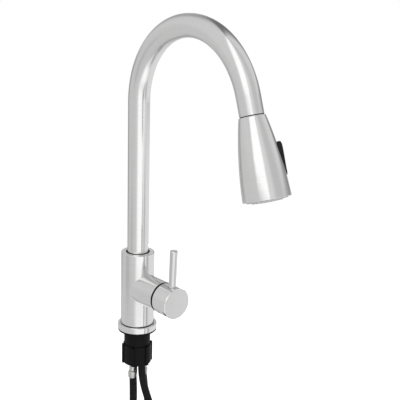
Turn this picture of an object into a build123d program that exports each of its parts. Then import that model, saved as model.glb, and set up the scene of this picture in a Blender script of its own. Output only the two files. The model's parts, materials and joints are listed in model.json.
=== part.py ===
from build123d import *
from math import atan, cos, degrees, pi, radians, sin, tan
import os

os.makedirs("parts", exist_ok=True)

# Pull-out kitchen faucet, in millimetres.
# The origin is on the faucet's axis at the underside of the base gasket, where it stands on the worktop.
# The spout reaches towards -Y, and the handle points the same way.

# Base and column
gasket_thickness = 2.2
gasket_radius = 25.0
flange_radius = 26.1
flange_thickness = 8.1
shadow_gap = 0.6
column_radius = 22.2
column_top = 111.1
spigot_radius = 20.3
spout_screw_radius = 2.5
edge_round = 0.8

# Cartridge housing and handle
handle_height = 62.9
housing_radius = 20.4
housing_mouth = 54.4
handle_gap = 3.2
gap_edge = 0.2
cap_radius = 20.2
cap_length = 25.7
cap_wall = 1.7
cap_face_thickness = 3.0
lever_radius_top = 5.1
lever_radius_foot = 4.8
lever_height = 49.9
lever_lean = 1.9
lever_setback = 9.8
lever_clearance = 0.35

# Cartridge
case_radius = 17.5
case_bore = 13.46
neck_radius = 12.4
neck_bore = 8.46
disc_radius = 8.0
disc_thickness = 4.0
seal_thickness = 1.5
chamber_floor = 14.0
pivot_depth = 17.4
stem_side = 7.0
stem_pin_radius = 1.6
stem_ball_radius = 1.9
port_radius = 2.5
handle_opening = 20.0

# Spout
tube_radius = 14.0
tube_wall = 1.2
arc_start = 311.8
arc_radius = 101.2
arc_turn = 161.5
end_straight = 21.3
socket_radius = 16.0
socket_floor = 86.0
foot_height = 13.0

# Spray head
head_gap = 0.9
head_length = 92.4
head_top_radius = 14.9
head_middle_radius = 23.35
head_rim_radius = 27.3
head_wall = 1.5
head_swing = 62.0
neck_length = 12.0
dock_bore = 10.0
dock_clearance = 0.3

# Rocker button
rocker_start = 32.5
rocker_end = 71.0
rocker_width = 13.0
rocker_clearance = 0.35
rocker_pin_radius = 1.2
rocker_proud = 0.5
rocker_lip = 4.3

# Spray face
face_radius = 25.2
nozzle_proud = 1.3
nozzle_radius = 1.1
outer_nozzles = 24
inner_nozzles = 18
outer_nozzle_circle = 21.8
inner_nozzle_circle = 16.2
aerator_radius = 9.5

# Under the worktop
shank_radius = 17.75
shank_thread_radius = 17.4
shank_bore = 15.4
gasket_gap = 0.2
shank_bottom = -46.0
nut_top = -21.0
nut_bottom = -48.3
nut_wall = 1.3
rib_proud = 1.8
rib_width = 4.4
rib_count = 6
rib_start = 36.0
pocket_width = 3.0
pocket_depth = 6.0

# Hoses
supply_hose_radius = 3.9
pull_hose_radius = 5.15
ferrule_radius = 4.9
ferrule_bore = 3.95
ferrule_top = -62.0
ferrule_bottom = -70.6

# Clearances
running_clearance = 0.06
sliding_clearance = 0.2
seat_clearance = 0.05


def section(origin, radial, along):
    """A drawing plane whose x is a radius of a turned piece and whose y runs along its axis."""
    return Plane(origin=origin, x_dir=radial, z_dir=Vector(*radial).cross(Vector(*along)))


def keep(builder, name):
    """Label a finished piece and write it."""
    builder.part.label = name
    export_step(builder.part, f"parts/{name}.step")


flange_top = gasket_thickness + flange_thickness
column_bottom = flange_top + shadow_gap

# Base gasket
with BuildPart() as base_gasket:
    with BuildSketch():
        Circle(gasket_radius)
        Circle(shank_radius + gasket_gap, mode=Mode.SUBTRACT)
    extrude(amount=gasket_thickness)
keep(base_gasket, "base_gasket")

# Base flange
with BuildPart() as base_flange:
    with BuildSketch(Plane.XY.offset(gasket_thickness)):
        Circle(flange_radius)
        Circle(spigot_radius + seat_clearance, mode=Mode.SUBTRACT)
    extrude(amount=flange_thickness)
    rims = base_flange.edges().filter_by(GeomType.CIRCLE).group_by(SortBy.RADIUS)[-1]
    fillet(rims.sort_by(Axis.Z)[-1], edge_round)
    chamfer(rims.sort_by(Axis.Z)[0], edge_round / 2)
keep(base_flange, "base_flange")

# Route of the pull-out hose, from the shank up to the spout's axis
hose_exit = (1.9, -8.3)
shank_seat = 22.0
tail_socket_depth = 10.0
hose_channel_radius = pull_hose_radius + 1.0
hot_place = (-8.3, 0.0)
cold_place = (10.4, -1.6)
outlet_place = (-0.4, 7.2)
tail_radius = 4.0

# Column with the cartridge housing
housing_axis = Plane(origin=(0, 0, handle_height), x_dir=(1, 0, 0), z_dir=(0, -1, 0))
bonnet_thread_radius = case_radius + 1.0
bonnet_depth = 15.0
with BuildPart() as column:
    with BuildSketch(Plane.XY.offset(column_bottom)):
        Circle(column_radius)
    extrude(amount=column_top - column_bottom)
    fillet(column.faces().sort_by(Axis.Z)[-1].edges(), edge_round)
    chamfer(column.faces().sort_by(Axis.Z)[0].edges(), edge_round / 2)
    with BuildSketch(housing_axis):
        Circle(housing_radius)
    extrude(amount=housing_mouth)
    chamfer(column.faces().sort_by(Axis.Y)[0].edges(), gap_edge)
    with BuildSketch(Plane.XY.offset(gasket_thickness)):
        Circle(spigot_radius)
    extrude(amount=column_bottom - gasket_thickness)
    with BuildSketch(housing_axis.offset(chamber_floor)):
        Circle(case_radius + seat_clearance)
    extrude(amount=housing_mouth - chamber_floor, mode=Mode.SUBTRACT)
    with BuildSketch(housing_axis.offset(housing_mouth - bonnet_depth)):
        Circle(bonnet_thread_radius + seat_clearance)
    extrude(amount=bonnet_depth, mode=Mode.SUBTRACT)
    with BuildSketch(Plane.XY.offset(socket_floor)):
        Circle(socket_radius)
    extrude(amount=column_top - socket_floor, mode=Mode.SUBTRACT)
    with BuildSketch(Plane.XY.offset(gasket_thickness)):
        Circle(shank_thread_radius + seat_clearance)
    extrude(amount=shank_seat - gasket_thickness, mode=Mode.SUBTRACT)
    with BuildSketch(Plane.XY.offset(shank_seat)):
        with Locations(hot_place, cold_place, outlet_place):
            Circle(tail_radius + seat_clearance)
    extrude(amount=tail_socket_depth, mode=Mode.SUBTRACT)
    with BuildSketch(Plane.XY.offset(shank_seat)):
        with Locations(hose_exit):
            Circle(hose_channel_radius)
    with BuildSketch(Plane.XY.offset(socket_floor)):
        Circle(hose_channel_radius)
    loft(mode=Mode.SUBTRACT)
    with BuildSketch(Plane(origin=(0, 0, socket_floor + foot_height / 2), x_dir=(1, 0, 0), z_dir=(0, 1, 0))):
        Circle(spout_screw_radius)
    extrude(amount=column_radius, mode=Mode.SUBTRACT)
keep(column, "column")

# Shank and mounting nut
with BuildPart() as shank:
    with BuildSketch(Plane.XY.offset(shank_bottom)):
        Circle(shank_thread_radius)
    extrude(amount=shank_seat - shank_bottom)
    with BuildSketch(Plane.XY.offset(nut_top)):
        Circle(shank_radius)
    extrude(amount=-nut_top)
    with BuildSketch(Plane.XY.offset(shank_bottom)):
        Circle(shank_bore)
    extrude(amount=shank_seat - shank_bottom, mode=Mode.SUBTRACT)
keep(shank, "shank")

nut_radius = shank_radius + nut_wall
with BuildPart() as mounting_nut:
    with BuildSketch(Plane.XY.offset(nut_bottom)):
        Circle(nut_radius)
    extrude(amount=nut_top - nut_bottom)
    chamfer(mounting_nut.faces().sort_by(Axis.Z)[0].edges(), nut_wall / 2)
    with BuildSketch(Plane.XY.offset(nut_bottom)):
        with PolarLocations(nut_radius, rib_count, start_angle=rib_start):
            Rectangle(2 * rib_proud, rib_width)
    extrude(amount=nut_top - nut_bottom)
    with BuildSketch(Plane.XY.offset(nut_bottom)):
        Circle(shank_thread_radius + seat_clearance)
    extrude(amount=nut_top - nut_bottom, mode=Mode.SUBTRACT)
    with BuildSketch(Plane.XY.offset(nut_top)):
        with PolarLocations(nut_radius - nut_wall, rib_count, start_angle=rib_start):
            Rectangle(2 * (nut_wall + rib_proud / 2), pocket_width)
    extrude(amount=-pocket_depth, mode=Mode.SUBTRACT)
keep(mounting_nut, "mounting_nut")

# Cartridge, drawn in sections whose x is a radius and whose y is the distance from the column's axis
cartridge_section = section((0, 0, handle_height), (1, 0, 0), (0, -1, 0))
cartridge_line = Axis(origin=(0, 0, handle_height), direction=(0, -1, 0))
pivot_distance = housing_mouth - pivot_depth
port_circle = disc_radius - 1.6
fixed_disc_start = chamber_floor + seal_thickness
moving_disc_start = fixed_disc_start + disc_thickness
carrier_start = moving_disc_start + disc_thickness + sliding_clearance
case_shoulder = pivot_distance - 3.0
case_cap = 2.0
neck_end = housing_mouth - 9.0

with BuildPart() as cartridge_seal:
    with BuildSketch(housing_axis.offset(chamber_floor)):
        Circle(case_radius - 2.0)
        with PolarLocations(port_circle, 3, start_angle=90):
            Circle(port_radius, mode=Mode.SUBTRACT)
    extrude(amount=seal_thickness)
keep(cartridge_seal, "cartridge_seal")

with BuildPart() as fixed_disc:
    with BuildSketch(housing_axis.offset(fixed_disc_start)):
        Circle(case_bore - seat_clearance)
        with PolarLocations(port_circle, 3, start_angle=90):
            Circle(port_radius, mode=Mode.SUBTRACT)
    extrude(amount=disc_thickness - seat_clearance)
keep(fixed_disc, "fixed_disc")

ball_socket_floor = 1.0
ball_clearance = 0.15
ball_distance = carrier_start - 1.2
with BuildPart() as moving_disc:
    with BuildSketch(housing_axis.offset(moving_disc_start)):
        Circle(disc_radius)
    extrude(amount=disc_thickness)
    with BuildSketch(housing_axis.offset(moving_disc_start + ball_socket_floor)):
        Circle(stem_ball_radius + ball_clearance)
    extrude(amount=disc_thickness, mode=Mode.SUBTRACT)
keep(moving_disc, "moving_disc")

with BuildPart() as cartridge_case:
    with BuildSketch(cartridge_section):
        with BuildLine():
            Polyline(
                (case_bore, fixed_disc_start),
                (case_radius, fixed_disc_start),
                (case_radius, case_shoulder + case_cap),
                (neck_radius, case_shoulder + case_cap),
                (neck_radius, neck_end),
                (neck_bore, neck_end),
                (neck_bore, case_shoulder),
                (case_bore, case_shoulder),
                close=True,
            )
        make_face()
    revolve(axis=cartridge_line)
keep(cartridge_case, "cartridge_case")

swing_rise = (pivot_distance - carrier_start) * tan(radians(handle_opening))
swing_drop = (neck_end - pivot_distance) * tan(radians(handle_opening))
slot_half = stem_side / 2 + sliding_clearance
slot_reach = stem_side / 2 / cos(radians(handle_opening)) + sliding_clearance
with BuildPart() as cartridge_carrier:
    with BuildSketch(cartridge_section):
        with BuildLine():
            Polyline(
                (0, carrier_start),
                (case_bore - running_clearance, carrier_start),
                (case_bore - running_clearance, case_shoulder - sliding_clearance),
                (neck_bore - running_clearance, case_shoulder - sliding_clearance),
                (neck_bore - running_clearance, neck_end),
                (0, neck_end),
                close=True,
            )
        make_face()
    revolve(axis=cartridge_line)
    with BuildSketch(housing_axis.offset(carrier_start)):
        with Locations((0, swing_rise / 2)):
            Rectangle(2 * slot_half, 2 * slot_reach + swing_rise)
    extrude(amount=pivot_distance - carrier_start, mode=Mode.SUBTRACT)
    with BuildSketch(housing_axis.offset(pivot_distance)):
        with Locations((0, -swing_drop / 2)):
            Rectangle(2 * slot_half, 2 * slot_reach + swing_drop)
    extrude(amount=neck_end - pivot_distance, mode=Mode.SUBTRACT)
    with Locations((0, -pivot_distance, handle_height)):
        Cylinder(stem_pin_radius + seat_clearance, 3 * neck_bore, rotation=(0, 90, 0), mode=Mode.SUBTRACT)
keep(cartridge_carrier, "cartridge_carrier")

cap_rear = housing_mouth + handle_gap
cap_front = cap_rear + cap_length
stem_neck_radius = 1.3
stem_shoulder = carrier_start + 2.5
stem_end = cap_front - cap_face_thickness - 3.0
with BuildPart() as cartridge_stem:
    with Locations((0, -ball_distance, handle_height)):
        Sphere(stem_ball_radius)
    with BuildSketch(housing_axis.offset(ball_distance)):
        Circle(stem_neck_radius)
    extrude(amount=stem_shoulder - ball_distance)
    with BuildSketch(housing_axis.offset(stem_shoulder)):
        Rectangle(stem_side, stem_side)
    extrude(amount=stem_end - stem_shoulder)
    with Locations((0, -pivot_distance, handle_height)):
        Cylinder(stem_pin_radius + running_clearance, 2 * stem_side, rotation=(0, 90, 0), mode=Mode.SUBTRACT)
keep(cartridge_stem, "cartridge_stem")

with BuildPart() as stem_pin:
    with Locations((0, -pivot_distance, handle_height)):
        Cylinder(stem_pin_radius, 2 * neck_bore - 1.0, rotation=(0, 90, 0))
    chamfer(stem_pin.edges(), 0.3)
keep(stem_pin, "stem_pin")

bonnet_start = case_shoulder + case_cap + seat_clearance
bonnet_rim = housing_mouth - 4.0
hex_radius = 15.4
hex_end = housing_mouth - 0.2
nut_hole = neck_radius + sliding_clearance
with BuildPart() as bonnet_nut:
    with BuildSketch(housing_axis.offset(housing_mouth - bonnet_depth + seat_clearance)):
        Circle(bonnet_thread_radius - seat_clearance)
    extrude(amount=bonnet_rim - housing_mouth + bonnet_depth - seat_clearance)
    with BuildSketch(housing_axis.offset(bonnet_start)):
        Circle(case_radius - seat_clearance)
    extrude(amount=housing_mouth - bonnet_depth + seat_clearance - bonnet_start)
    with BuildSketch(housing_axis.offset(bonnet_rim)):
        RegularPolygon(hex_radius, 6)
    extrude(amount=hex_end - bonnet_rim)
    with BuildSketch(housing_axis.offset(bonnet_start)):
        Circle(nut_hole)
    extrude(amount=hex_end - bonnet_start, mode=Mode.SUBTRACT)
keep(bonnet_nut, "bonnet_nut")

ring_end = housing_mouth + handle_gap - 0.7
ring_radius = bonnet_thread_radius - 0.3
ring_wall = 1.7
trim_radius = housing_radius - 0.6
trim_thickness = 1.0
with BuildPart() as handle_ring:
    with BuildSketch(housing_axis.offset(bonnet_rim + seat_clearance)):
        Circle(ring_radius)
        Circle(ring_radius - ring_wall, mode=Mode.SUBTRACT)
    extrude(amount=ring_end - bonnet_rim - seat_clearance)
    chamfer(handle_ring.faces().sort_by(Axis.Y)[0].edges(), 0.3)
    with BuildSketch(housing_axis.offset(housing_mouth + seat_clearance)):
        Circle(trim_radius)
        Circle(ring_radius - ring_wall, mode=Mode.SUBTRACT)
    extrude(amount=trim_thickness)
keep(handle_ring, "handle_ring")

# Handle
lever_axis = section(
    (0, -(cap_front - lever_setback), handle_height + cap_radius),
    (1, 0, 0),
    (0, -sin(radians(lever_lean)), cos(radians(lever_lean))),
)
lever_line = Axis(origin=lever_axis.origin, direction=lever_axis.y_dir)
lever_foot = Plane(origin=lever_axis.origin, x_dir=(1, 0, 0), z_dir=lever_axis.y_dir)
hub_radius = 9.0
hub_depth = 11.0
stud_radius = 2.5
stud_reach = cap_radius - stem_side / 2 - 1.5
lever_sink = 3.5
key_radius = 2.6
key_place = cap_front - cap_face_thickness - hub_depth / 2
cap_plane = housing_axis.offset(cap_rear)
with BuildPart() as handle_cap:
    with BuildSketch(cap_plane):
        Circle(cap_radius)
    extrude(amount=cap_length)
    chamfer(handle_cap.faces().sort_by(Axis.Y)[0].edges(), edge_round)
    chamfer(handle_cap.faces().sort_by(Axis.Y)[-1].edges(), gap_edge)
    with BuildSketch(cap_plane):
        Circle(cap_radius - cap_wall)
    extrude(amount=cap_length - cap_face_thickness, mode=Mode.SUBTRACT)
    with BuildSketch(housing_axis.offset(cap_front - cap_face_thickness)):
        Circle(hub_radius)
    extrude(amount=-hub_depth)
    with BuildSketch(housing_axis.offset(stem_end + seat_clearance)):
        Rectangle(stem_side + 2 * seat_clearance, stem_side + 2 * seat_clearance)
    extrude(amount=-hub_depth, mode=Mode.SUBTRACT)
    with BuildSketch(lever_foot.offset(-lever_sink)):
        Circle(lever_radius_foot + lever_clearance)
    extrude(amount=2 * lever_sink, mode=Mode.SUBTRACT)
    with BuildSketch(lever_foot):
        Circle(stud_radius + seat_clearance)
    extrude(amount=-stud_reach, mode=Mode.SUBTRACT)
    with BuildSketch(Plane(origin=(0, -key_place, handle_height), x_dir=(1, 0, 0), z_dir=(0, 0, -1))):
        Circle(key_radius)
    extrude(amount=2 * cap_radius, mode=Mode.SUBTRACT)
keep(handle_cap, "handle_cap")

lever_crown = 2.2
with BuildPart() as lever_rod:
    with BuildSketch(lever_axis):
        with BuildLine():
            edge = Polyline(
                (0, -stud_reach + 0.3),
                (stud_radius, -stud_reach + 0.3),
                (stud_radius, -lever_sink + 0.2),
                (lever_radius_foot, -lever_sink + 0.2),
                (lever_radius_foot, 0),
                (lever_radius_top, lever_height - lever_crown),
            )
            rim = TangentArc(edge @ 1, (lever_radius_top - lever_crown, lever_height), tangent=edge % 1)
            Polyline(rim @ 1, (0, lever_height), edge @ 0)
        make_face()
    revolve(axis=lever_line)
keep(lever_rod, "lever_rod")

screw_length = 5.0
socket_width = 2.5
screw_place = Plane(
    origin=(0, -key_place, handle_height - stem_side / 2 - 0.1), x_dir=(1, 0, 0), z_dir=(0, 0, -1)
)
with BuildPart() as handle_screw:
    with BuildSketch(screw_place):
        Circle(key_radius - seat_clearance)
    extrude(amount=screw_length)
    with BuildSketch(screw_place.offset(screw_length)):
        RegularPolygon(socket_width / 2, 6)
    extrude(amount=-screw_length / 2, mode=Mode.SUBTRACT)
keep(handle_screw, "handle_screw")

# Spout
tube_foot = socket_floor + foot_height
foot_radius = socket_radius - 0.6
washer_thickness = 1.0
screw_height = socket_floor + foot_height / 2


def on_arch(turn):
    """The point of the spout's centreline that lies this many degrees into its arch."""
    angle = radians(turn)
    return Vector(0, -arc_radius * (1 - cos(angle)), arc_start + arc_radius * sin(angle))


head_axis = Vector(0, -sin(radians(arc_turn)), cos(radians(arc_turn)))
spout_end = on_arch(arc_turn) + head_axis * end_straight

with BuildPart() as spout_tube:
    with BuildLine():
        Line((0, 0, tube_foot), on_arch(0))
        ThreePointArc(on_arch(0), on_arch(arc_turn / 2), on_arch(arc_turn))
        Line(on_arch(arc_turn), spout_end)
    with BuildSketch(Plane.XY.offset(tube_foot)):
        Circle(tube_radius)
        Circle(tube_radius - tube_wall, mode=Mode.SUBTRACT)
    sweep()
keep(spout_tube, "spout_tube")

spigot_reach = 12.0
foot_bore = 7.0
groove_depth = 2.0
groove_width = 3.4
ring_groove = 1.8
ring_height = tube_foot - 2.6
with BuildPart() as spout_foot:
    with BuildSketch(Plane.XY.offset(socket_floor + washer_thickness)):
        Circle(foot_radius)
    extrude(amount=foot_height - washer_thickness)
    with BuildSketch(Plane.XY.offset(tube_foot)):
        Circle(tube_radius - tube_wall - seat_clearance)
    extrude(amount=spigot_reach)
    with BuildSketch(Plane.XY.offset(screw_height - groove_width / 2)):
        Circle(foot_radius)
        Circle(foot_radius - groove_depth, mode=Mode.SUBTRACT)
    extrude(amount=groove_width, mode=Mode.SUBTRACT)
    with BuildSketch(Plane.XY.offset(ring_height - ring_groove / 2)):
        Circle(foot_radius)
        Circle(foot_radius - ring_groove, mode=Mode.SUBTRACT)
    extrude(amount=ring_groove, mode=Mode.SUBTRACT)
    with BuildSketch(Plane.XY.offset(socket_floor)):
        Circle(foot_bore)
    extrude(amount=foot_height + spigot_reach, mode=Mode.SUBTRACT)
keep(spout_foot, "spout_foot")

seal_cord = ring_groove / 2 - seat_clearance
with BuildPart() as foot_seal:
    with BuildSketch(Plane.XZ):
        with Locations((foot_radius - ring_groove + seal_cord + seat_clearance, ring_height)):
            Circle(seal_cord)
    revolve(axis=Axis.Z)
keep(foot_seal, "foot_seal")

with BuildPart() as foot_washer:
    with BuildSketch(Plane.XY.offset(socket_floor)):
        Circle(socket_radius - seat_clearance)
        Circle(foot_bore + 1.5, mode=Mode.SUBTRACT)
    extrude(amount=washer_thickness - seat_clearance)
keep(foot_washer, "foot_washer")

with BuildPart() as glide_ring:
    with BuildSketch(Plane.XY.offset(tube_foot + 0.8)):
        Circle(socket_radius - seat_clearance)
        Circle(tube_radius + running_clearance, mode=Mode.SUBTRACT)
    extrude(amount=column_top - 0.4 - tube_foot - 0.8)
keep(glide_ring, "glide_ring")

screw_tip_radius = 1.3
screw_socket_depth = 3.0
screw_body_end = column_radius - 0.8
with BuildPart() as spout_screw:
    with BuildSketch(Plane(origin=(0, screw_body_end, screw_height), x_dir=(1, 0, 0), z_dir=(0, -1, 0))):
        Circle(spout_screw_radius - seat_clearance)
    extrude(amount=screw_body_end - socket_radius)
    with BuildSketch(Plane(origin=(0, socket_radius, screw_height), x_dir=(1, 0, 0), z_dir=(0, -1, 0))):
        Circle(screw_tip_radius)
    extrude(amount=socket_radius - foot_radius + groove_depth - 0.3)
    with BuildSketch(Plane(origin=(0, screw_body_end, screw_height), x_dir=(1, 0, 0), z_dir=(0, -1, 0))):
        RegularPolygon(socket_width / 2, 6)
    extrude(amount=screw_socket_depth, mode=Mode.SUBTRACT)
keep(spout_screw, "spout_screw")

# Spray head, drawn in sections whose x is a radius and whose y is the distance from the spout's end
front_side = head_axis.cross(Vector(1, 0, 0))
rocker_side = Vector(1, 0, 0) * sin(radians(head_swing)) + front_side * cos(radians(head_swing))
head_section = section(spout_end, rocker_side, head_axis)
head_line = Axis(origin=spout_end, direction=head_axis)


def across_head(distance):
    """A plane square to the head's axis, this far below the spout's end."""
    return Plane(origin=spout_end + head_axis * distance, x_dir=rocker_side, z_dir=head_axis)


def shell_radius(distance):
    """The shell's outer radius, a smooth flare through its top, middle and rim radii."""
    share = distance / head_length
    top = head_top_radius * (1 - share) * (1 - 2 * share)
    middle = head_middle_radius * 4 * share * (1 - share)
    return top + middle + head_rim_radius * share * (2 * share - 1)


dock_depth = 14.0
dock_flange = 0.5
with BuildPart() as dock_bushing:
    with BuildSketch(head_section):
        with BuildLine():
            Polyline(
                (dock_bore + 1.0, dock_flange),
                (tube_radius - 0.5, dock_flange),
                (tube_radius - 0.5, 0),
                (tube_radius - tube_wall - seat_clearance, 0),
                (tube_radius - tube_wall - seat_clearance, -dock_depth),
                (dock_bore, -dock_depth),
                (dock_bore, dock_flange - 1.0),
                close=True,
            )
        make_face()
    revolve(axis=head_line)
keep(dock_bushing, "dock_bushing")

hose_break = arc_turn - 5.0
with BuildPart() as spout_hose:
    with BuildLine():
        Line((0, 0, socket_floor + washer_thickness), on_arch(0))
        ThreePointArc(on_arch(0), on_arch(hose_break / 2), on_arch(hose_break))
    with BuildSketch(Plane.XY.offset(socket_floor + washer_thickness)):
        Circle(pull_hose_radius)
    sweep()
keep(spout_hose, "spout_hose")

# Hose end, captive in the nut that closes the head's neck
nut_outer = dock_bore - dock_clearance
neck_thread = 7.4
neck_start = -9.0
washer_gap = 0.9
tail_flange = 1.2
tail_radius_at_head = 4.0
flange_bottom = neck_start - washer_gap
flange_start = flange_bottom - tail_flange
hose_start = flange_start - 2.5
barb_end = hose_start - 7.5
hose_bore = 3.35
stub_start = -29.4
with BuildPart() as hose_tail:
    with BuildSketch(head_section):
        with BuildLine():
            Polyline(
                (hose_bore - 1.1, flange_bottom),
                (neck_thread - 0.4, flange_bottom),
                (neck_thread - 0.4, flange_start),
                (tail_radius_at_head, flange_start),
                (tail_radius_at_head, hose_start),
                (hose_bore - seat_clearance, hose_start),
                (hose_bore - seat_clearance, barb_end),
                (hose_bore - 1.1, barb_end),
                close=True,
            )
        make_face()
    revolve(axis=head_line)
keep(hose_tail, "hose_tail")

with BuildPart() as hose_stub:
    with BuildSketch(across_head(stub_start)):
        Circle(pull_hose_radius)
        Circle(hose_bore, mode=Mode.SUBTRACT)
    extrude(amount=hose_start - stub_start - seat_clearance)
keep(hose_stub, "hose_stub")

with BuildPart() as hose_ferrule:
    with BuildSketch(across_head(barb_end)):
        Circle(pull_hose_radius + 1.1)
        Circle(pull_hose_radius + seat_clearance, mode=Mode.SUBTRACT)
    extrude(amount=hose_start - barb_end)
    fillet(hose_ferrule.edges().filter_by(GeomType.CIRCLE).group_by(SortBy.RADIUS)[-1], 0.6)
keep(hose_ferrule, "hose_ferrule")

nut_end = -1.5
with BuildPart() as hose_nut:
    with BuildSketch(head_section):
        with BuildLine():
            Polyline(
                (neck_thread + seat_clearance, nut_end),
                (nut_outer, nut_end),
                (nut_outer, hose_start + 0.8),
                (nut_outer - 0.8, hose_start),
                (tail_radius_at_head + running_clearance, hose_start),
                (tail_radius_at_head + running_clearance, flange_start - running_clearance),
                (neck_thread + seat_clearance, flange_start - running_clearance),
                close=True,
            )
        make_face()
    revolve(axis=head_line)
keep(hose_nut, "hose_nut")

with BuildPart() as head_washer:
    with BuildSketch(across_head(flange_bottom + seat_clearance)):
        Circle(neck_thread - 0.2)
        Circle(tail_radius_at_head + 0.6, mode=Mode.SUBTRACT)
    extrude(amount=washer_gap - 2 * seat_clearance)
keep(head_washer, "head_washer")

# Head shell, with the opening that the rocker stands in
rocker_middle = (rocker_start + rocker_end) / 2
rocker_length = rocker_end - rocker_start
rocker_corner = 5.0
top_round = 1.3
shell_hole = 10.2


def rocker_plan(margin):
    """The rocker's rounded outline seen from outside, grown by a margin, as a drawing plane and its sizes."""
    origin = spout_end + head_axis * rocker_middle
    plane = Plane(origin=origin, x_dir=head_axis, z_dir=rocker_side)
    return plane, rocker_length + 2 * margin, rocker_width + 2 * margin, rocker_corner + margin


with BuildPart() as head_shell:
    with BuildSketch(head_section):
        with BuildLine():
            crown = head_gap + top_round
            half = head_length / 2
            shoulder = Line((shell_hole, head_gap), (head_top_radius - top_round, head_gap))
            edge = RadiusArc(shoulder @ 1, (shell_radius(crown), crown), -top_round * 1.2)
            flare = ThreePointArc(edge @ 1, (shell_radius(half), half), (head_rim_radius, head_length))
            lip = Line(flare @ 1, (head_rim_radius - head_wall, head_length))
            inside_top = head_gap + head_wall
            inner = ThreePointArc(
                lip @ 1,
                (shell_radius(half) - head_wall, half),
                (shell_radius(inside_top) - head_wall, inside_top),
            )
            Polyline(inner @ 1, (shell_hole, inside_top), shoulder @ 0)
        make_face()
    revolve(axis=head_line)
    plane, length, width, corner = rocker_plan(rocker_clearance)
    with BuildSketch(plane):
        RectangleRounded(length, width, corner)
    extrude(amount=2 * head_rim_radius, mode=Mode.SUBTRACT)
keep(head_shell, "head_shell")

# Head core, with the ears that hold the rocker's pin and the bore of the diverter spool
core_radius = 13.3
core_top = head_gap + head_wall + seat_clearance
core_floor = head_length - 8.4
flange_depth = 3.8
inlet_radius = 5.2
inlet_depth = 30.0
pin_radius_place = shell_radius(rocker_middle) - head_wall - 4.4
ear_inner = 3.7
ear_outer = 6.0
ear_half = 3.0
ear_rise = 2.3
spool_place = 8.5
spool_radius = 3.5
spool_half = 9.0
finger_half = 1.2
finger_width = 4.0
finger_end = spool_place + 2.3
with BuildPart() as head_core:
    with BuildSketch(head_section):
        with BuildLine():
            Polyline(
                (0, neck_start),
                (neck_thread, neck_start),
                (neck_thread, core_top),
                (core_radius, core_top),
                (core_radius, core_floor),
                (shell_radius(core_floor) - head_wall - 0.8, core_floor),
                (shell_radius(core_floor) - head_wall - 0.8, core_floor + flange_depth),
                (0, core_floor + flange_depth),
                close=True,
            )
        make_face()
    revolve(axis=head_line)
    for side in (-1, 1):
        with BuildSketch(head_section.offset(side * ear_inner)):
            with BuildLine():
                Polyline(
                    (core_radius - 3.0, rocker_middle - ear_half),
                    (pin_radius_place + ear_rise, rocker_middle - ear_half),
                    (pin_radius_place + ear_rise, rocker_middle + ear_half),
                    (core_radius - 3.0, rocker_middle + ear_half),
                    close=True,
                )
            make_face()
            with Locations((pin_radius_place, rocker_middle)):
                Circle(rocker_pin_radius + seat_clearance, mode=Mode.SUBTRACT)
        extrude(amount=side * (ear_outer - ear_inner))
    with BuildSketch(across_head(neck_start)):
        Circle(inlet_radius)
    extrude(amount=inlet_depth, mode=Mode.SUBTRACT)
    with BuildSketch(across_head(rocker_middle - spool_half - 2.0)):
        with Locations((spool_place, 0)):
            Circle(spool_radius + running_clearance)
    extrude(amount=2 * spool_half + 4.0, mode=Mode.SUBTRACT)
    with BuildSketch(head_section):
        with Locations((core_radius, rocker_middle)):
            Rectangle(2 * (core_radius - spool_place), 2 * (finger_half + 1.6))
    extrude(amount=finger_width / 2 + 0.6, both=True, mode=Mode.SUBTRACT)
keep(head_core, "head_core")

valve_length = 9.0
with BuildPart() as check_valve:
    with BuildSketch(across_head(core_top)):
        Circle(inlet_radius - seat_clearance)
        Circle(inlet_radius / 2, mode=Mode.SUBTRACT)
    extrude(amount=valve_length)
keep(check_valve, "check_valve")

spool_groove = 1.5
with BuildPart() as diverter_spool:
    with BuildSketch(across_head(rocker_middle - spool_half)):
        with Locations((spool_place, 0)):
            Circle(spool_radius)
    extrude(amount=2 * spool_half)
    with BuildSketch(across_head(rocker_middle - finger_half - 0.3)):
        with Locations((spool_place, 0)):
            Circle(spool_radius + 1)
            Circle(spool_radius - spool_groove, mode=Mode.SUBTRACT)
    extrude(amount=2 * finger_half + 0.6, mode=Mode.SUBTRACT)
keep(diverter_spool, "diverter_spool")

with BuildPart() as rocker_pin:
    with BuildSketch(head_section.offset(-ear_outer)):
        with Locations((pin_radius_place, rocker_middle)):
            Circle(rocker_pin_radius)
    extrude(amount=2 * ear_outer)
keep(rocker_pin, "rocker_pin")

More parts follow.
